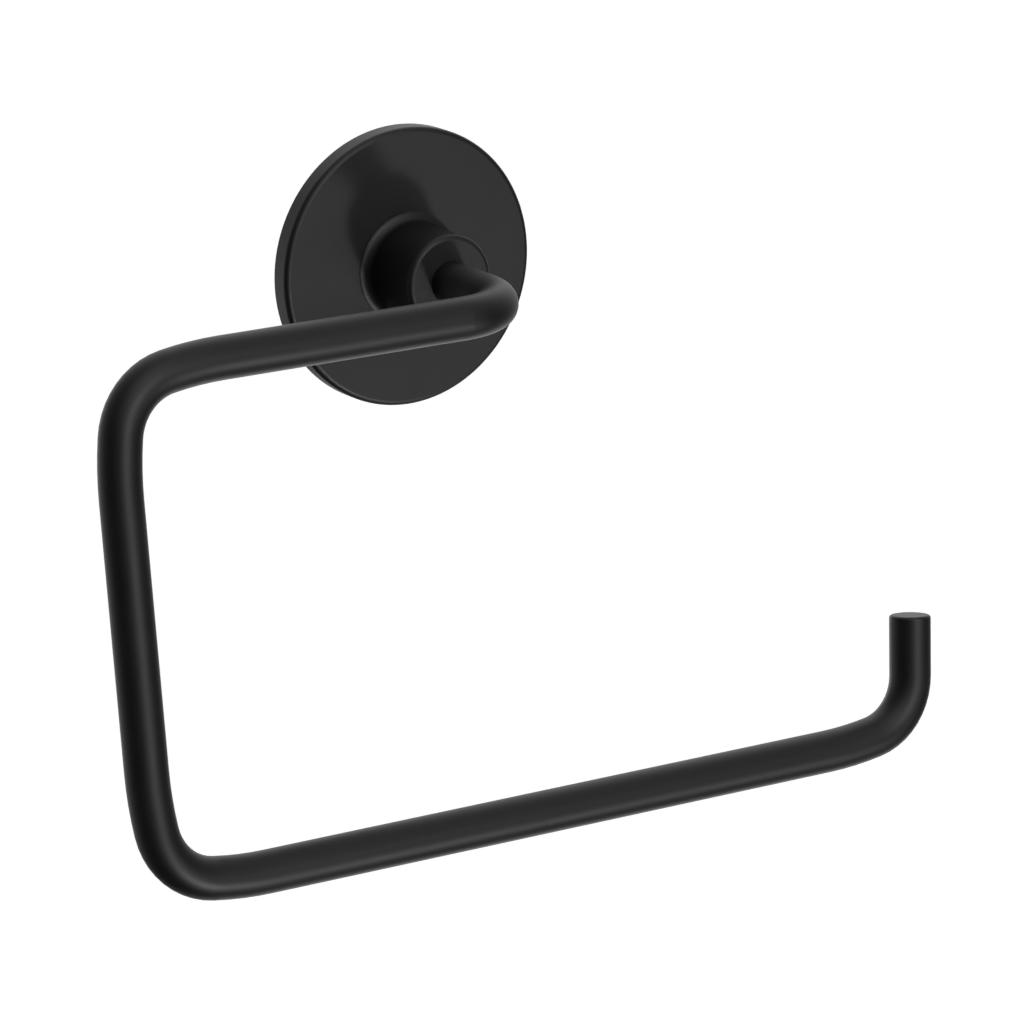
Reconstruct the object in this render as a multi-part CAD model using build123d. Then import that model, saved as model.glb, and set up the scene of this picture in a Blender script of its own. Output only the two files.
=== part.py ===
from build123d import *
import os
from math import cos, radians, sin, sqrt, tan

# Frame: the wall is the plane y = 0, the holder stands out from it along -Y, +Z is up and +X runs to
# the open side of the loop. The origin is the centre of the rosette's back. All sizes in millimetres.

# Roll rod, one round bar with four bends. Round the loop it runs into each tight bend by a wide arc, as a
# bar does that is bent by hand over a former. Bend radii are those of the rod's axis.
rod_d = 8.0
projection = 45.1    # wall to the axis of the upper run
upper_reach = 85.5   # post axis to the axis of the closed side
lower_reach = 79.0   # post axis to the foot of the tip, on the axis of the lower run
drop = 93.5          # axis of the upper run to axis of the lower run, along the loop
loop_lean = 7.0      # degrees by which the loop leans away from the wall on its way down
tip_height = 23.0    # axis of the lower run to the end of the tip, along the loop
tip_lean = 4.5       # degrees by which the tip leans out to the open side
post_bend = 13.0     # in front of the post
loop_bend = 12.5     # the two bends of the closed side
tip_bend = 11.5      # below the tip
ease_bend = 70.0     # wide arcs beside the tight bends of the loop
ease_turn = 9.0      # degrees of turn in each wide arc
ease_land = 0.2      # straight between a wide arc and its tight one
tip_edge = 0.6       # rounding of the tip's end
root_chamfer = 0.5   # lead-in chamfer of the end that goes into the post

# Wall plate, screwed to the wall inside the rosette
plate_t = 3.0
plate_rim_gap = 2.0   # to the inside of the rosette's rim
plate_face_gap = 0.3  # to the back of the rosette's face
screw_spacing = 32.0  # two countersunk holes, one above the other
screw_hole_d = 5.0
screw_land = 0.5      # straight part of each hole, behind its countersink

# Rosette, a shallow pressed cup
rosette_d = 53.4
rosette_sheet = 1.2
rosette_edge = 1.0       # front edge
rosette_rim_edge = 0.25  # edge that meets the wall

# Spigot, riveted to the wall plate, on which the post slides
spigot_d = 10.0
spigot_length = 8.2
spigot_tail_d = 7.0
spigot_flat = 0.7      # depth of the flat for the grub screw
spigot_chamfer = 0.5

# Post, turned, with a coved foot
post_d = 17.9
post_length = 15.0   # rosette to end face
post_edge = 1.0
foot_cove = 1.8      # radius of the hollow that flares the foot
foot_rim = 0.2       # thickness of the foot at its edge
neck_d = 14.0        # neck that centres the rosette
neck_relief = 0.1    # neck stops short of the back of the rosette's face
spigot_end_gap = 0.3
post_web = 1.0       # between the two bores

# Grub screw in the underside of the post
grub_d = 4.0
grub_recess = 0.2
grub_land = 0.3      # between the foot and the screw's hole
grub_point = 0.4     # chamfer at the point
socket_af = 2.0      # hexagon socket, across flats
socket_depth = 1.6

# Fits
seat_gap = 0.05      # radial clearance of every round fit

# Places along the wall normal, as distances from the wall
recess_depth = plate_t + plate_face_gap
rosette_depth = recess_depth + rosette_sheet
post_end = rosette_depth + post_length
spigot_end = plate_t + spigot_length
spigot_bore_end = spigot_end + spigot_end_gap
rod_root = spigot_bore_end + post_web
foot_end = rosette_depth + foot_rim + foot_cove
grub_place = foot_end + grub_land + grub_d / 2

# Radii and lengths that follow
rod_r = rod_d / 2
post_r = post_d / 2
spigot_r = spigot_d / 2
grub_r = grub_d / 2
flat_level = spigot_r - spigot_flat
grub_length = post_r - grub_recess - flat_level


def turned(*profile, rounds=()):
    """Turn a half section, given as (radius, distance from the wall), about the wall normal."""
    section = make_face(Polyline([(r, -d) for r, d in profile], close=True))
    for (r, d), size in rounds:
        corner = section.vertices().sort_by_distance((r, -d))[0]
        section = fillet(corner, size)
    return revolve(section, axis=Axis.Y)


def drill(radius, depth_from, depth_to, z=0.0):
    """A round cutter square to the wall, between two distances from it."""
    start = Plane(origin=(0, -depth_from, z), z_dir=(0, -1, 0))
    return extrude(start * Circle(radius), depth_to - depth_from)


def ring_at(solid, centre):
    """The round edge of a solid that lies about a centre."""
    return solid.edges().filter_by(GeomType.CIRCLE).sort_by_distance(centre)[0]


def on_loop(x, down):
    """A point of the loop's leaning plane."""
    lean = radians(loop_lean)
    return (x, -projection - down * sin(lean), -down * cos(lean))


def eased_bend(before, corner, after, tight, eased_out):
    """Corners and radii of a tight bend that the rod runs into, and out of where eased_out, by a wide arc."""
    corner = Vector(corner)
    inwards = (corner - Vector(before)).normalized()
    outwards = (Vector(after) - corner).normalized()
    turn = radians(inwards.get_angle(outwards))
    ease_in = radians(ease_turn)
    ease_out = ease_in if eased_out else 0
    tight_half = tight * tan((turn - ease_in - ease_out) / 2)
    run_in = ease_bend * tan(ease_in / 2) + ease_land + tight_half
    run_out = ease_bend * tan(ease_out / 2) + ease_land + tight_half
    past = (run_in * sin(ease_in) + run_out * sin(turn - ease_out)) / sin(turn)
    short = run_in * cos(ease_in) + run_out * cos(turn - ease_out) - past * cos(turn)
    first = corner - inwards * short
    last = corner + outwards * past
    leaving = (inwards * sin(ease_out) + outwards * sin(turn - ease_out)) / sin(turn)
    bends = [(first, ease_bend), (last - leaving * run_out, tight)]
    if eased_out:
        bends.append((last, ease_bend))
    return bends


def rod_path():
    """Axis of the rod, from its end inside the post to the end of the tip."""
    post_front = on_loop(0, 0)
    loop_top = on_loop(-upper_reach, 0)
    loop_foot = on_loop(-upper_reach, drop)
    tip_foot = on_loop(lower_reach, drop)
    tip_end = on_loop(lower_reach + tip_height * tan(radians(tip_lean)), drop - tip_height)
    bends = [(post_front, post_bend)]
    bends += eased_bend(post_front, loop_top, loop_foot, loop_bend, eased_out=True)
    bends += eased_bend(loop_top, loop_foot, tip_foot, loop_bend, eased_out=True)
    bends += eased_bend(loop_foot, tip_foot, tip_end, tip_bend, eased_out=False)
    corners = [corner for corner, radius in bends]
    radii = [radius for corner, radius in bends]
    return FilletPolyline((0, -rod_root, 0), *corners, tip_end, radius=radii)


def make_roll_rod():
    path = rod_path()
    start = Plane(origin=path @ 0, z_dir=path % 0)
    rod = sweep(start * Circle(rod_r), path=path)
    rod = fillet(ring_at(rod, path @ 1), tip_edge)
    return chamfer(ring_at(rod, path @ 0), root_chamfer)


def make_post():
    neck_r = neck_d / 2
    neck_end = recess_depth + neck_relief
    bore_r = spigot_r + seat_gap
    seat_r = rod_r + seat_gap
    body = turned(
        (bore_r, neck_end),
        (neck_r, neck_end),
        (neck_r, rosette_depth),
        (post_r, rosette_depth),
        (post_r, post_end),
        (seat_r, post_end),
        (seat_r, rod_root),
        (0, rod_root),
        (0, spigot_bore_end),
        (bore_r, spigot_bore_end),
        rounds=[((post_r, post_end), post_edge)],
    )
    foot_r = post_r + foot_cove
    corner = (Align.MIN, Align.MIN)
    block = Pos(neck_r, -foot_end) * Rectangle(foot_r - neck_r, foot_end - rosette_depth, align=corner)
    hollow = Pos(foot_r, -foot_end) * Circle(foot_cove)
    foot = revolve(block - hollow, axis=Axis.Y)
    hole_start = Plane(origin=(0, -grub_place, 0), z_dir=(0, 0, -1))
    hole = extrude(hole_start * Circle(grub_r + seat_gap), post_d)
    return body + foot - hole


def make_rosette():
    outer_r = rosette_d / 2
    inner_r = outer_r - rosette_sheet
    hole_r = neck_d / 2 + seat_gap
    return turned(
        (hole_r, rosette_depth),
        (outer_r, rosette_depth),
        (outer_r, 0),
        (inner_r, 0),
        (inner_r, recess_depth),
        (hole_r, recess_depth),
        rounds=[((outer_r, rosette_depth), rosette_edge), ((outer_r, 0), rosette_rim_edge)],
    )


def make_wall_plate():
    plate_r = rosette_d / 2 - rosette_sheet - plate_rim_gap
    hole_r = screw_hole_d / 2
    sink = plate_t - screw_land
    plate = drill(plate_r, 0, plate_t) - drill(spigot_tail_d / 2 + seat_gap, 0, plate_t)
    for z in (-screw_spacing / 2, screw_spacing / 2):
        seat = Plane(origin=(0, -screw_land - sink / 2, z), z_dir=(0, -1, 0))
        plate -= drill(hole_r, 0, plate_t, z=z)
        plate -= seat * Cone(hole_r, hole_r + sink, sink)
    return plate


def make_spigot():
    tail_r = spigot_tail_d / 2
    spigot = turned(
        (0, 0),
        (tail_r, 0),
        (tail_r, plate_t),
        (spigot_r, plate_t),
        (spigot_r, spigot_end - spigot_chamfer),
        (spigot_r - spigot_chamfer, spigot_end),
        (0, spigot_end),
    )
    below = Pos(0, -(plate_t + spigot_end) / 2, -flat_level)
    waste = Box(spigot_d, spigot_length, spigot_d, align=(Align.CENTER, Align.CENTER, Align.MAX))
    return spigot - below * waste


def make_grub_screw():
    point = Plane(origin=(0, -grub_place, -flat_level), z_dir=(0, 0, -1))
    screw = extrude(point * Circle(grub_r), grub_length)
    screw = chamfer(ring_at(screw, point.origin), grub_point)
    mouth = point.offset(grub_length)
    socket = extrude(mouth * RegularPolygon(socket_af / sqrt(3), 6), -socket_depth)
    return screw - socket


os.makedirs("parts", exist_ok=True)
nodes = {
    "roll_rod": make_roll_rod(),
    "post": make_post(),
    "rosette": make_rosette(),
    "wall_plate": make_wall_plate(),
    "spigot": make_spigot(),
    "grub_screw": make_grub_screw(),
}
for name, solid in nodes.items():
    export_step(solid, f"parts/{name}.step")
print("rod length", round(rod_path().length, 2), "mm, grub screw length", round(grub_length, 2), "mm")
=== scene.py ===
# %% [markdown]
# # A toilet roll holder in satin black
# A round rosette lies on the wall, a short turned post stands on it, and one bent bar carries the roll.
# The solids come from the CAD model and stay where they are. This lesson puts a camera and a studio
# round them, gives every piece its finish, and models the few small things the solids leave out.

# %% Load the solids and keep their box
import bpy
import math
from mathutils import Matrix, Vector


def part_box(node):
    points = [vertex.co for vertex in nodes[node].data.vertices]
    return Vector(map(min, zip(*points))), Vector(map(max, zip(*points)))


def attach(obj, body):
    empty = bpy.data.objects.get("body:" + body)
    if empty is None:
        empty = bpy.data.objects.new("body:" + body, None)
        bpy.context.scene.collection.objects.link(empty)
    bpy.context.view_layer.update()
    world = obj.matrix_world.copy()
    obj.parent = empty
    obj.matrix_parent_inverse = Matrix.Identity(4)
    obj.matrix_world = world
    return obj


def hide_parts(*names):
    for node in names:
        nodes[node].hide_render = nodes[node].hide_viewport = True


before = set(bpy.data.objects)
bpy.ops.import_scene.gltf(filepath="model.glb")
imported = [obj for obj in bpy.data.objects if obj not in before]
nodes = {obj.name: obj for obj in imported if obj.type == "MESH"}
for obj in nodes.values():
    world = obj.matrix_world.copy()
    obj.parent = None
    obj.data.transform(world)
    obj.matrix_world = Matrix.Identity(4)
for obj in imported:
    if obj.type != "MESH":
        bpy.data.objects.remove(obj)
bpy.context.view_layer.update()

MM = 0.001
bpy.ops.object.select_all(action="DESELECT")
for name, solid in sorted(nodes.items()):
    low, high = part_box(name)
    size = [round((b - a) / MM, 1) for a, b in zip(low, high)]
    print(name, "is", size, "mm and has", len(solid.data.polygons), "faces")

# %% [markdown]
# ## Camera
# The holder is seen from the left and a little from above, through a long lens. The place, the turn
# and the focal length were found by fitting the solids' outline to the photograph, so the camera needs
# no shift. A Track To constraint could aim it, but leaves no room for a roll. So its turn is built from
# three plain rotations, the last one being the small roll.

# %% Camera at the photograph's angle
camera_place = Vector((-0.54049, -0.91169, 0.24715))
turn_right, look_down, roll_right = 31.799, 15.624, 0.879
camera_turn = Matrix.Rotation(math.radians(-turn_right), 4, "Z")
camera_lift = Matrix.Rotation(math.radians(90.0 - look_down), 4, "X")
camera_roll = Matrix.Rotation(math.radians(-roll_right), 4, "Z")

bpy.ops.object.camera_add()
camera = bpy.context.object
camera.name = "camera"
camera.matrix_world = Matrix.Translation(camera_place) @ camera_turn @ camera_lift @ camera_roll
camera.data.sensor_width = 36.0
camera.data.lens = 202.355
camera.data.clip_start = 0.05
camera.data.clip_end = 60.0
bpy.context.scene.camera = camera
print("camera", round(camera_place.length, 3), "m from the rosette, lens", camera.data.lens, "mm")

# %% [markdown]
# ## Floor
# The holder hangs over a plain white floor, with nothing behind it. A curved backdrop would do as well,
# but from this camera a wide plane already fills the whole background, so no horizon shows. It glows a
# little, as the lit table of a product studio does. It neither shows in the coat's mirror images nor
# throws a shadow, so light from below reaches the holder.

# %% Floor
floor_size, floor_level, floor_glow = 40.0, -1.2, 0.47
floor_white = (0.9, 0.9, 0.9, 1.0)
plain_white = (1.0, 1.0, 1.0, 1.0)
bpy.ops.object.select_all(action="DESELECT")
bpy.ops.mesh.primitive_plane_add(size=floor_size, location=(0.0, 0.0, floor_level))
floor = bpy.context.object
floor.name = "floor"
floor.visible_glossy = False
floor.visible_shadow = False
floor_paint = bpy.data.materials.new("floor_paint")
floor_paint.use_nodes = True
floor_shader = floor_paint.node_tree.nodes["Principled BSDF"]
floor_shader.inputs["Base Color"].default_value = floor_white
floor_shader.inputs["Roughness"].default_value = 0.9
floor_shader.inputs["Specular IOR Level"].default_value = 0.0
floor_shader.inputs["Emission Color"].default_value = plain_white
floor_shader.inputs["Emission Strength"].default_value = floor_glow
floor.data.materials.append(floor_paint)
print("floor", [round(d, 2) for d in floor.dimensions])

# %% [markdown]
# ## Studio light
# A black satin coat shows hardly any colour of its own: what the eye sees is the studio mirrored in it.
# Area lamps could light it, but a panel in the world shader is set by its direction alone and fades
# softly at its edge. So the light is a set of such panels, all round the holder. Each has a direction, a
# sharpness and a brightness, and fades like a bell curve. It is a node group, built once and placed once
# for every panel. The camera sees plain white in place of the panels.

# %% Helpers for node groups
def new_group(name, takes, gives):
    """A node group with named sockets, each a Vector or a Float, and the nodes at its two ends."""
    group = bpy.data.node_groups.new(name, "ShaderNodeTree")
    for side, sockets in (("INPUT", takes), ("OUTPUT", gives)):
        for title, kind in sockets.items():
            group.interface.new_socket(title, in_out=side, socket_type="NodeSocket" + kind)
    return group, group.nodes.new("NodeGroupInput"), group.nodes.new("NodeGroupOutput")


def put_math(tree, kind, operation):
    """A Math or VectorMath node that does one operation."""
    node = tree.nodes.new("ShaderNode" + kind)
    node.operation = operation
    return node


# %% A soft panel as a node group
panel_group, inside, outside = new_group(
    "soft_panel",
    {"Ray": "Vector", "Towards": "Vector", "Sharpness": "Float", "Brightness": "Float"},
    {"Light": "Float"},
)
along = put_math(panel_group, "VectorMath", "DOT_PRODUCT")
below = put_math(panel_group, "Math", "SUBTRACT")
below.inputs[1].default_value = 1.0
steep = put_math(panel_group, "Math", "MULTIPLY")
bell = put_math(panel_group, "Math", "EXPONENT")
bright = put_math(panel_group, "Math", "MULTIPLY")
wire = panel_group.links.new
wire(inside.outputs["Ray"], along.inputs[0])
wire(inside.outputs["Towards"], along.inputs[1])
wire(along.outputs["Value"], below.inputs[0])
wire(below.outputs[0], steep.inputs[0])
wire(inside.outputs["Sharpness"], steep.inputs[1])
wire(steep.outputs[0], bell.inputs[0])
wire(bell.outputs[0], bright.inputs[0])
wire(inside.outputs["Brightness"], bright.inputs[1])
wire(bright.outputs[0], outside.inputs["Light"])
print("soft panel group has", len(panel_group.nodes), "nodes")

# %% The panels round the holder
# Degrees to the right of straight in front, degrees above the horizon, sharpness, brightness.
panels = {
    "small lamp low in front": (17.0, -34.0, 600.0, 102.0),
    "wide lamp low in front": (30.0, -34.0, 120.0, 2.3),
    "lamp in front": (6.0, 14.0, 110.0, 12.2),
    "wide lamp in front": (10.0, -10.0, 60.0, 1.5),
    "sky panel in front": (-5.0, 50.0, 10.0, 1.55),
    "sky panel behind": (150.0, 38.0, 4.0, 1.16),
    "low panel behind": (134.0, -43.0, 16.0, 1.65),
    "panel straight behind": (176.0, -9.0, 21.0, 1.3),
    "panel behind, left": (-145.0, -12.0, 7.6, 0.62),
    "panel behind, right": (136.0, -4.0, 8.0, 0.58),
    "fill from the right": (88.0, 25.0, 7.0, 0.14),
    "fill from the left": (-95.0, 30.0, 7.0, 0.1),
}
studio = bpy.data.worlds.new("studio")
bpy.context.scene.world = studio
studio.use_nodes = True
tree = studio.node_tree
wire = tree.links.new
ray = tree.nodes.new("ShaderNodeTexCoord")
total = None
for title, (around, above, sharpness, brightness) in panels.items():
    turn, rise = math.radians(around), math.radians(above)
    level = math.cos(rise)
    panel = tree.nodes.new("ShaderNodeGroup")
    panel.node_tree = panel_group
    panel.label = title
    panel.inputs["Towards"].default_value = (math.sin(turn) * level, -math.cos(turn) * level, math.sin(rise))
    panel.inputs["Sharpness"].default_value = sharpness
    panel.inputs["Brightness"].default_value = brightness
    wire(ray.outputs["Generated"], panel.inputs["Ray"])
    light = panel.outputs["Light"]
    if total is not None:
        both = put_math(tree, "Math", "ADD")
        wire(total, both.inputs[0])
        wire(light, both.inputs[1])
        light = both.outputs[0]
    total = light
print(len(panels), "soft panels")

# %% White for the camera, the panels for everything else
mirrored = tree.nodes["Background"]
mirrored.inputs["Color"].default_value = plain_white
wire(total, mirrored.inputs["Strength"])
seen = tree.nodes.new("ShaderNodeBackground")
seen.inputs["Color"].default_value = plain_white
seen.inputs["Strength"].default_value = 1.0
path = tree.nodes.new("ShaderNodeLightPath")
choose = tree.nodes.new("ShaderNodeMixShader")
wire(path.outputs["Is Camera Ray"], choose.inputs[0])
wire(mirrored.outputs[0], choose.inputs[1])
wire(seen.outputs[0], choose.inputs[2])
wire(choose.outputs[0], tree.nodes["World Output"].inputs["Surface"])
bpy.context.scene.view_settings.view_transform = "Standard"
print("the studio's world has", len(tree.nodes), "nodes")

# %% [markdown]
# ## Two effects that the finishes share
# No real surface is quite even. A sprayed coat has a skin like a fine orange peel, sheet metal keeps the
# grain of the rollers, and a turned pin keeps rings from the lathe. Each effect is a node group, built
# once and placed in every finish with its own sizes. A group only puts out numbers, so the shader that
# turns them into light stays in the material, where the export can read it.

# %% Fine skin and slow clouds as a node group
skin_group, inside, outside = new_group(
    "coat_skin",
    {"Place": "Vector", "Peel Scale": "Float", "Cloud Scale": "Float"},
    {"Peel": "Float", "Clouds": "Float"},
)
peel = skin_group.nodes.new("ShaderNodeTexNoise")
peel.inputs["Detail"].default_value = 2.0
peel.inputs["Roughness"].default_value = 0.45
clouds = skin_group.nodes.new("ShaderNodeTexNoise")
clouds.inputs["Detail"].default_value = 4.0
clouds.inputs["Roughness"].default_value = 0.6
wire = skin_group.links.new
wire(inside.outputs["Place"], peel.inputs["Vector"])
wire(inside.outputs["Place"], clouds.inputs["Vector"])
wire(inside.outputs["Peel Scale"], peel.inputs["Scale"])
wire(inside.outputs["Cloud Scale"], clouds.inputs["Scale"])
wire(peel.outputs["Fac"], outside.inputs["Peel"])
wire(clouds.outputs["Fac"], outside.inputs["Clouds"])
print("skin group has", len(skin_group.nodes), "nodes")

# %% Rings from the lathe as a node group
# Across keeps the two directions square to the turned axis, and Along is the axis itself.
ring_group, inside, outside = new_group(
    "lathe_rings",
    {"Place": "Vector", "Across": "Vector", "Along": "Vector", "Ring Scale": "Float"},
    {"Rings": "Float"},
)
flat_place = put_math(ring_group, "VectorMath", "MULTIPLY")
distance = put_math(ring_group, "VectorMath", "LENGTH")
height = put_math(ring_group, "VectorMath", "DOT_PRODUCT")
travel = put_math(ring_group, "Math", "ADD")
rings = ring_group.nodes.new("ShaderNodeTexNoise")
rings.noise_dimensions = "1D"
rings.inputs["Detail"].default_value = 3.0
wire = ring_group.links.new
wire(inside.outputs["Place"], flat_place.inputs[0])
wire(inside.outputs["Across"], flat_place.inputs[1])
wire(flat_place.outputs["Vector"], distance.inputs[0])
wire(inside.outputs["Place"], height.inputs[0])
wire(inside.outputs["Along"], height.inputs[1])
wire(distance.outputs["Value"], travel.inputs[0])
wire(height.outputs["Value"], travel.inputs[1])
wire(travel.outputs["Value"], rings.inputs["W"])
wire(inside.outputs["Ring Scale"], rings.inputs["Scale"])
wire(rings.outputs["Fac"], outside.inputs["Rings"])
print("ring group has", len(ring_group.nodes), "nodes")

# %% [markdown]
# ## Satin black coat
# The bar, the post and the rosette are powder coated: a thin, tough plastic skin with hardly any gloss.
# It is almost black, so its shape is read from the broad highlights alone, and the roughness matters more
# than the colour. One even gloss would look like moulded plastic. So the peel lifts the skin, though only
# by a few thousandths of a millimetre, and the clouds vary the gloss by a few percent, as uneven baking
# does.

# %% Helpers to start a finish
def new_finish(name):
    """A material, its tree, its shader and the place of each point on the piece."""
    finish = bpy.data.materials.new(name)
    finish.use_nodes = True
    tree = finish.node_tree
    place = tree.nodes.new("ShaderNodeTexCoord").outputs["Object"]
    return finish, tree, tree.nodes["Principled BSDF"], place


def put_group(tree, group, place, **values):
    """A group placed in a material, with its own values. Underscores stand for spaces."""
    node = tree.nodes.new("ShaderNodeGroup")
    node.node_tree = group
    tree.links.new(place, node.inputs["Place"])
    for name, value in values.items():
        node.inputs[name.replace("_", " ")].default_value = value
    return node


# %% Helpers from a mask to the shader
# Noise keeps mostly between these two values, so they are taken as the ends of a mask.
mask_low, mask_high = 0.3, 0.7


def put_range(tree, source, target, low, high):
    """A mask spread between two values and sent to a socket."""
    spread = tree.nodes.new("ShaderNodeMapRange")
    spread.inputs["From Min"].default_value = mask_low
    spread.inputs["From Max"].default_value = mask_high
    spread.inputs["To Min"].default_value = low
    spread.inputs["To Max"].default_value = high
    tree.links.new(source, spread.inputs["Value"])
    tree.links.new(spread.outputs["Result"], target)


def put_tones(tree, source, shader, dark, light):
    """A mask turned into the tones between two colours."""
    ramp = tree.nodes.new("ShaderNodeValToRGB")
    stops = ramp.color_ramp.elements
    for stop, position, tone in zip(stops, (mask_low, mask_high), (dark, light)):
        stop.position = position
        stop.color = (*tone, 1.0)
    tree.links.new(source, ramp.inputs["Fac"])
    tree.links.new(ramp.outputs["Color"], shader.inputs["Base Color"])


def put_relief(tree, source, shader, height):
    """A mask turned into a fine relief of so many metres."""
    bump = tree.nodes.new("ShaderNodeBump")
    bump.inputs["Strength"].default_value = 1.0
    bump.inputs["Distance"].default_value = height
    tree.links.new(source, bump.inputs["Height"])
    tree.links.new(bump.outputs["Normal"], shader.inputs["Normal"])


# %% Satin black coat
coat, tree, shader, place = new_finish("satin_black_coat")
skin = put_group(tree, skin_group, place, Peel_Scale=2600.0, Cloud_Scale=70.0)
uneven = skin.outputs["Clouds"]
put_tones(tree, uneven, shader, dark=(0.0016, 0.0016, 0.0017), light=(0.0026, 0.0026, 0.0027))
put_range(tree, uneven, shader.inputs["Roughness"], low=0.465, high=0.495)
put_relief(tree, skin.outputs["Peel"], shader, height=0.012 * MM)
for name in ("roll_rod", "post", "rosette"):
    nodes[name].data.materials.clear()
    nodes[name].data.materials.append(coat)
print("coat on the bar, the post and the rosette")

# %% [markdown]
# ## Bright plating
# The wall plate and its spigot are hidden once the holder hangs, so they are plain steel with a thin coat
# of zinc. Zinc is a metal, so the shader is fully metallic and its colour tints the reflections. Slow
# clouds give the faint bluish and yellowish patches of the plating bath. The plate shows the long grain
# of rolled sheet, which is noise stretched along one direction. The spigot shows rings, which run round
# its axis.

# %% Plated sheet for the wall plate
bluish_zinc = (0.36, 0.39, 0.43)
grain_stretch = 0.06
plated_sheet, tree, shader, place = new_finish("plated_sheet")
shader.inputs["Metallic"].default_value = 1.0
stretch = tree.nodes.new("ShaderNodeMapping")
stretch.inputs["Scale"].default_value = (grain_stretch, 1.0, 1.0)
tree.links.new(place, stretch.inputs["Vector"])
grain = put_group(tree, skin_group, stretch.outputs["Vector"], Peel_Scale=2200.0, Cloud_Scale=260.0)
bath = put_group(tree, skin_group, place, Peel_Scale=1500.0, Cloud_Scale=45.0)
put_tones(tree, bath.outputs["Clouds"], shader, dark=bluish_zinc, light=(0.55, 0.54, 0.50))
put_range(tree, grain.outputs["Clouds"], shader.inputs["Roughness"], low=0.24, high=0.44)
put_relief(tree, grain.outputs["Peel"], shader, height=0.008 * MM)
print("plated sheet has", len(tree.nodes), "nodes")

# %% Plated turning for the spigot
plated_pin, tree, shader, place = new_finish("plated_pin")
shader.inputs["Metallic"].default_value = 1.0
lathe = put_group(
    tree, ring_group, place,
    Across=(1.0, 0.0, 1.0), Along=(0.0, 1.0, 0.0), Ring_Scale=3500.0,
)
bath = put_group(tree, skin_group, place, Peel_Scale=1500.0, Cloud_Scale=90.0)
put_tones(tree, bath.outputs["Clouds"], shader, dark=bluish_zinc, light=(0.52, 0.51, 0.48))
put_range(tree, lathe.outputs["Rings"], shader.inputs["Roughness"], low=0.22, high=0.36)
put_relief(tree, lathe.outputs["Rings"], shader, height=0.006 * MM)
print("plated pin has", len(tree.nodes), "nodes")

# %% [markdown]
# ## Blackened steel
# The grub screw is hardened steel, blackened in a hot bath and oiled, so it is a dark metal with uneven
# gloss. It was turned too and gets the same rings, but its axis is upright and stands in front of the wall.
# The rings are measured from the origin, so a Mapping node first moves that axis to it.

# %% Blackened steel for the grub screw
# From the wall to the screw's axis.
screw_out = 8.8
black_steel, tree, shader, place = new_finish("blackened_steel")
shader.inputs["Metallic"].default_value = 1.0
centre = tree.nodes.new("ShaderNodeMapping")
centre.inputs["Location"].default_value = (0.0, screw_out * MM, 0.0)
tree.links.new(place, centre.inputs["Vector"])
lathe = put_group(
    tree, ring_group, centre.outputs["Vector"],
    Across=(1.0, 1.0, 0.0), Along=(0.0, 0.0, 1.0), Ring_Scale=6000.0,
)
oil = put_group(tree, skin_group, place, Peel_Scale=4000.0, Cloud_Scale=700.0)
put_tones(tree, oil.outputs["Clouds"], shader, dark=(0.055, 0.055, 0.060), light=(0.13, 0.125, 0.12))
put_range(tree, oil.outputs["Clouds"], shader.inputs["Roughness"], low=0.28, high=0.46)
put_relief(tree, lathe.outputs["Rings"], shader, height=0.003 * MM)
print("blackened steel has", len(tree.nodes), "nodes")

# %% [markdown]
# ## Tools for modelling
# The three inner pieces are modelled as by hand, with Blender's own operators. They could be typed in as
# lists of points, but then nobody could follow how a piece comes about. An operator acts on all that is
# selected, so everything is deselected first, and faces or edges are then picked by their place. Sizes
# are in millimetres here, and are turned into metres where they reach Blender.

# %% Tools to go into edit mode and to pick
# Two places that are this close count as one.
near = 0.01 * MM


def edit(piece):
    """Go into edit mode on one piece, with nothing selected on it."""
    if bpy.context.mode != "OBJECT":
        bpy.ops.object.mode_set(mode="OBJECT")
    bpy.ops.object.select_all(action="DESELECT")
    piece.select_set(True)
    bpy.context.view_layer.objects.active = piece
    bpy.ops.object.mode_set(mode="EDIT")
    bpy.ops.mesh.select_mode(type="VERT")
    bpy.ops.mesh.select_all(action="DESELECT")


def pick(piece, wanted, kind="faces"):
    """Select the faces or edges whose middle a test accepts, and go back to edit mode."""
    edit(piece)
    bpy.ops.mesh.select_mode(type="FACE" if kind == "faces" else "EDGE")
    bpy.ops.object.mode_set(mode="OBJECT")
    points = piece.data.vertices
    for part in piece.data.polygons if kind == "faces" else piece.data.edges:
        corners = [points[k].co for k in part.vertices]
        middle = sum(corners, Vector()) / len(corners)
        part.select = bool(wanted(middle))
    bpy.ops.object.mode_set(mode="EDIT")


# %% Tools to add and to grow
def add_pin(name, radius, start, end, up=0.0, tip_radius=None, sides=96, hangs_at=None):
    """A pin square to the wall, between two distances from it in millimetres, which may taper.

    With hangs_at it hangs down instead, that far from the wall, between two depths under the post's axis.
    """
    middle = -(start + end) / 2
    place = (0.0, middle, up) if hangs_at is None else (0.0, -hangs_at, middle)
    bpy.ops.object.select_all(action="DESELECT")
    bpy.ops.mesh.primitive_cone_add(
        vertices=sides,
        radius1=radius * MM,
        radius2=(radius if tip_radius is None else tip_radius) * MM,
        depth=(end - start) * MM,
        location=[MM * c for c in place],
        rotation=(math.radians(90.0 if hangs_at is None else 180.0), 0.0, 0.0),
    )
    pin = bpy.context.object
    pin.name = name
    bpy.ops.object.transform_apply(location=True, rotation=True, scale=True)
    return pin


def grow(radius, steps):
    """Extrude the picked round face away from the wall, step by step, each time to a new radius."""
    for away, new_radius in steps:
        bpy.ops.mesh.extrude_region_move(TRANSFORM_OT_translate={"value": (0.0, -away * MM, 0.0)})
        ratio = new_radius / radius
        bpy.ops.transform.resize(value=(ratio, 1.0, ratio))
        radius = new_radius


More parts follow.
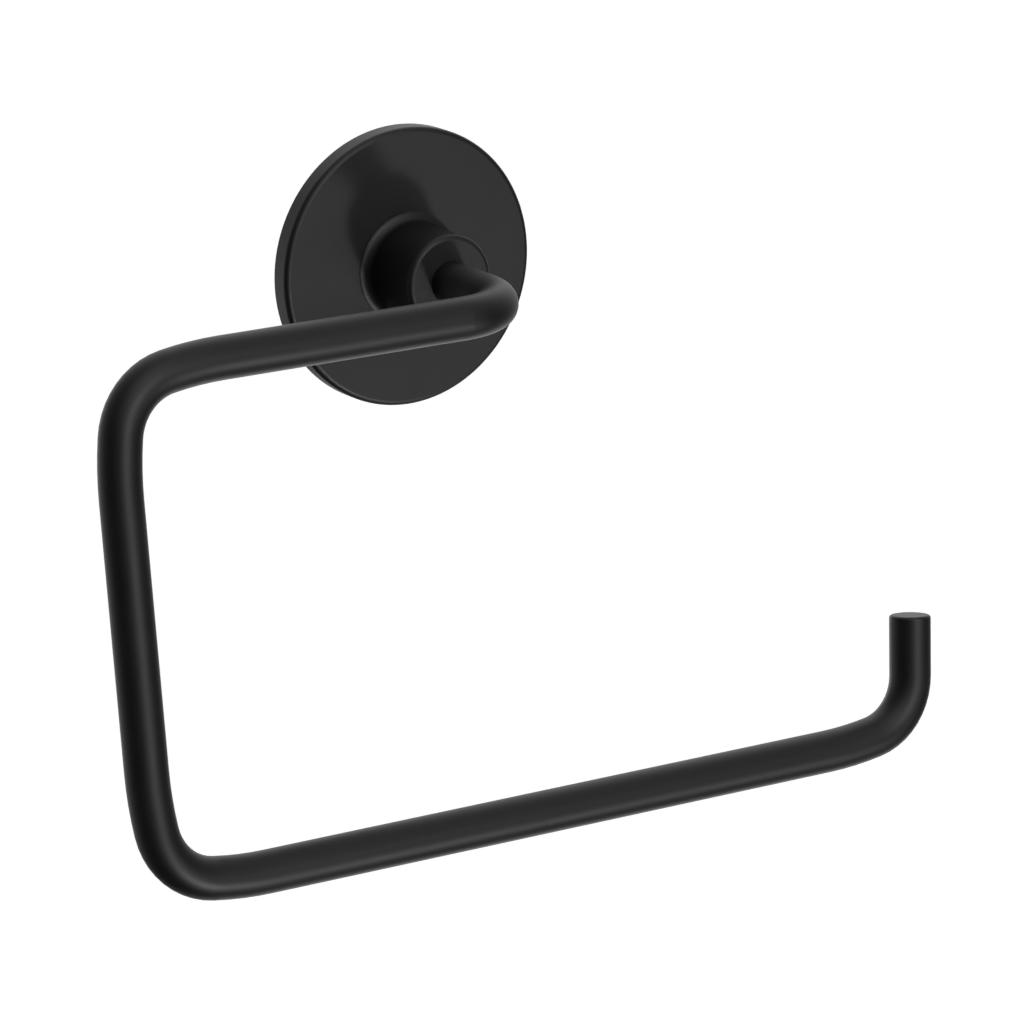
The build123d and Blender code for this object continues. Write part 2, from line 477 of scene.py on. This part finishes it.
# %% Tools to trim and to cut
def trim(level, side):
    """Cut what is being edited at a height and close it. Side 1 drops what is above, -1 what is below."""
    bpy.ops.mesh.select_all(action="SELECT")
    bpy.ops.mesh.bisect(
        plane_co=(0.0, 0.0, level * MM),
        plane_no=(0.0, 0.0, side),
        use_fill=True,
        clear_outer=True,
        threshold=0.0001 * MM,
    )


def combine(piece, tool, operation):
    """Cut a piece with a tool, or keep what both share, and throw the tool away."""
    bpy.ops.object.select_all(action="DESELECT")
    bpy.context.view_layer.objects.active = piece
    piece.select_set(True)
    cut = piece.modifiers.new("cut", "BOOLEAN")
    cut.operation = operation
    cut.solver = "EXACT"
    cut.object = tool
    bpy.ops.object.modifier_apply(modifier="cut")
    bpy.data.objects.remove(tool, do_unlink=True)


# %% Tool to finish a piece
smooth_below = math.radians(32.0)


def finish_piece(piece, finish, node):
    """Smooth a piece, give it its finish and let it stand for a CAD node."""
    if bpy.context.mode != "OBJECT":
        bpy.ops.object.mode_set(mode="OBJECT")
    bpy.ops.object.select_all(action="DESELECT")
    bpy.context.view_layer.objects.active = piece
    piece.select_set(True)
    bpy.ops.object.shade_smooth_by_angle(angle=smooth_below)
    level = piece.modifiers.new("level", "WEIGHTED_NORMAL")
    level.weight = 100
    level.keep_sharp = True
    bpy.ops.object.modifier_apply(modifier="level")
    piece.data.materials.clear()
    piece.data.materials.append(finish)
    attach(piece, "root")
    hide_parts(node)
    print(piece.name, "has", len(piece.data.polygons), "faces")


# %% [markdown]
# ## Wall plate
# The plate is punched from 3 mm sheet. The punch pulls the sheet's skin down round its edge, so one side
# has a soft shoulder and the other a crisp one, and the two screw holes are countersunk for flat heads.
# It could be drawn as an outline and thickened. Here a disc is added at its size and its shoulder is
# bevelled, and then the holes are cut with a pin and a cone, which is how a workshop would go about it.

# %% Wall plate
# Holes are given by their radii. Every cutter runs past the sheet, so that no skin is left in a hole.
plate_radius, plate_thick = 23.5, 3.0
front_shoulder, back_edge = 0.45, 0.1
tail_hole = 3.55
screw_hole, screw_land, screw_height = 2.5, 0.5, 16.0
sink_depth = 2.8
past = 1.0

plate = add_pin("wall_plate_punched", plate_radius, 0.0, plate_thick, sides=160)
pick(plate, lambda m: abs(m.y + plate_thick * MM) < near, "edges")
bpy.ops.mesh.bevel(offset=front_shoulder * MM, segments=4, affect="EDGES")
pick(plate, lambda m: abs(m.y) < near, "edges")
bpy.ops.mesh.bevel(offset=back_edge * MM, segments=2, affect="EDGES")
bpy.ops.object.mode_set(mode="OBJECT")
combine(plate, add_pin("spigot_hole", tail_hole, -past, plate_thick + past), "DIFFERENCE")
for up in (-screw_height, screw_height):
    drill = add_pin("screw_hole", screw_hole, -past, screw_land, up=up)
    pick(drill, lambda m: abs(m.y + screw_land * MM) < near)
    grow(screw_hole, [(sink_depth, screw_hole + sink_depth)])
    bpy.ops.object.mode_set(mode="OBJECT")
    combine(plate, drill, "DIFFERENCE")
finish_piece(plate, plated_sheet, "wall_plate")

# %% [markdown]
# ## Spigot
# The post slides over this pin. The pin is turned from bar and its thin tail goes through the wall plate,
# where a rolling punch spreads it, which leaves a shallow cup in its end. A flat is milled along the
# underside for the grub screw. The pin could be spun from half its outline. Here it starts as the tail
# alone, so that each cut of the lathe is one step of the code: its front face is grown into a shoulder, a
# body and a chamfer, its back is pressed in, and one cut across it makes the flat.

# %% Spigot
# Each step of a face is how far it goes from the wall and the radius that it comes to.
tail_radius, body_radius, body_length, body_chamfer = 3.5, 5.0, 8.2, 0.5
flat_level = 4.3
body_steps = [
    (0.0, body_radius),
    (body_length - body_chamfer, body_radius),
    (body_chamfer, body_radius - body_chamfer),
]
cup_steps = [(0.0, 2.6), (0.35, 2.1), (0.15, 1.0)]

spigot = add_pin("spigot_riveted", tail_radius, 0.0, plate_thick)
pick(spigot, lambda m: abs(m.y + plate_thick * MM) < near)
grow(tail_radius, body_steps)
pick(spigot, lambda m: abs(m.y) < near)
grow(tail_radius, cup_steps)
trim(-flat_level, -1.0)
bpy.ops.mesh.select_all(action="SELECT")
bpy.ops.mesh.normals_make_consistent(inside=False)
finish_piece(spigot, plated_pin, "spigot")

# %% [markdown]
# ## Grub screw
# A headless M4 screw in the post's underside presses on the flat and keeps the post from turning or coming
# off. Its thread rises 0.7 mm a turn. A thread can be faked with a bump, but this one can be seen at the
# mouth of its hole, so it is modelled: one pitch of the thread's outline is drawn by extruding a point,
# the Screw modifier winds it up, and the wound tube is closed, trimmed between two chamfered ends and
# given its socket.

# %% One pitch of the thread, drawn by extruding a point
# Distance from the screw's axis and rise along it.
pitch, crest, root, crest_edge = 0.7, 2.0, 1.62, 0.03
outline = [
    (root, 0.0),
    (root, 0.175),
    (crest - crest_edge, 0.387),
    (crest, 0.42),
    (crest, 0.455),
    (crest - crest_edge, 0.488),
    (root, pitch),
]
bpy.ops.object.select_all(action="DESELECT")
bpy.ops.mesh.primitive_plane_add(size=1.0 * MM)
screw = bpy.context.object
screw.name = "grub_screw_threaded"
edit(screw)
bpy.ops.mesh.select_all(action="SELECT")
bpy.ops.mesh.merge(type="CENTER")
bpy.ops.mesh.select_all(action="SELECT")
bpy.ops.transform.translate(value=(root * MM, 0.0, 0.0))
for (before, low), (after, high) in zip(outline, outline[1:]):
    step = ((after - before) * MM, 0.0, (high - low) * MM)
    bpy.ops.mesh.extrude_region_move(TRANSFORM_OT_translate={"value": step})
bpy.ops.object.mode_set(mode="OBJECT")
print("one pitch has", len(screw.data.vertices), "points")

# %% The thread, wound up and closed
thread_start, thread_end = 0.85, 5.9
wind = screw.modifiers.new("wind", "SCREW")
wind.axis = "Z"
wind.angle = math.radians(360.0)
wind.screw_offset = pitch * MM
wind.iterations = 9
wind.steps = 48
wind.render_steps = 48
wind.use_merge_vertices = True
wind.use_normal_calculate = True
bpy.ops.object.modifier_apply(modifier="wind")
edit(screw)
bpy.ops.mesh.select_all(action="SELECT")
bpy.ops.mesh.remove_doubles(threshold=0.002 * MM)
bpy.ops.mesh.normals_make_consistent(inside=False)
trim(thread_start, -1.0)
trim(thread_end, 1.0)
bpy.ops.object.mode_set(mode="OBJECT")
print("thread wound up to", [round(d / MM, 2) for d in screw.dimensions], "mm")

# %% Trim the thread, then cut the point and the socket
# Depths under the post's axis: the point rests on the spigot's flat, the mouth is just inside the post.
screw_point, screw_mouth = flat_level, 8.75
thread_depth = 9.9
blank_radius, end_chamfer = 2.05, 0.42
key_width, socket_depth = 2.0, 1.6
key_radius = key_width / math.sqrt(3.0)
socket_floor = screw_mouth - socket_depth
beyond = screw_mouth + 0.2

screw.location = (0.0, -screw_out * MM, -thread_depth * MM)
bpy.ops.object.select_all(action="DESELECT")
screw.select_set(True)
bpy.context.view_layer.objects.active = screw
bpy.ops.object.transform_apply(location=True, rotation=True, scale=True)
blank = add_pin("blank", blank_radius, screw_point, screw_mouth, sides=72, hangs_at=screw_out)
ends = (-screw_point * MM, -screw_mouth * MM)
pick(blank, lambda m: min(abs(m.z - e) for e in ends) < near, "edges")
bpy.ops.mesh.bevel(offset=end_chamfer * MM, segments=1, affect="EDGES")
bpy.ops.object.mode_set(mode="OBJECT")
combine(screw, blank, "INTERSECT")
# Name, radius at the top, upper and lower depth, radius at the bottom, sides.
cutters = [
    ("cup_point", 1.2, screw_point - 0.2, screw_point + 0.4, 0.2, 48),
    ("key_socket", key_radius, socket_floor, beyond, key_radius, 6),
    ("socket_floor", 0.05, socket_floor - 0.4, socket_floor + 0.1, 0.95, 48),
    ("socket_mouth", 0.9, screw_mouth - 0.4, beyond, 1.5, 48),
]
for name, radius, start, end, tip_radius, sides in cutters:
    cutter = add_pin(name, radius, start, end, tip_radius=tip_radius, sides=sides, hangs_at=screw_out)
    combine(screw, cutter, "DIFFERENCE")
finish_piece(screw, black_steel, "grub_screw")
